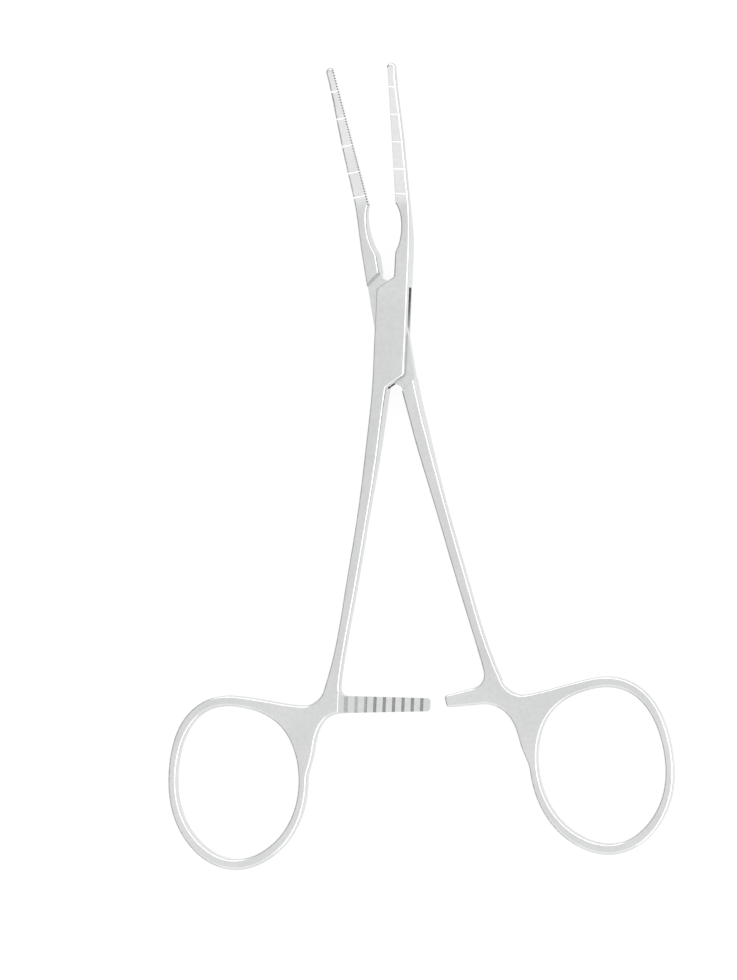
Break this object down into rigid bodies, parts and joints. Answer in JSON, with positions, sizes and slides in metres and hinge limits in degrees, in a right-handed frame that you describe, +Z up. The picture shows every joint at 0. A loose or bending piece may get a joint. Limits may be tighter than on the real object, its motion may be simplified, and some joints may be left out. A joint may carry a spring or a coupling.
{
  "type": "vascular clamp",
  "caption": "Ring-handled vascular clamp with a box lock, upward-angled serrated jaws with measuring lines, and interlocking ratchet arms.",
  "frame": {"origin": "where the pin's axis meets the back face of the box, the face the clamp rests on", "axes": "+X to the side of the male half's finger ring, +Y towards the jaw tips, +Z up out of the plane of the rings, the way the jaws rise"},
  "size_m": [0.0888, 0.1363, 0.016],
  "materials": {
    "female_half": "satin blasted stainless steel with a fine grain, polished edges",
    "male_half": "satin blasted stainless steel with a fine grain, polished edges",
    "pivot_pin": "satin stainless steel, ground flush with the box"
  },
  "bodies": {
    "female_body": {"female_half": "female_half", "pivot_pin": "pivot_pin"},
    "male_body": {"male_half": "male_half"}
  },
  "joints": [
    {"name": "box_lock", "type": "hinge", "parent": "female_body", "child": "male_body", "pos_m": [0, 0, 0.0022], "axis": [0, 0, 1], "range_deg": [-11.9, 28]}
  ]
}
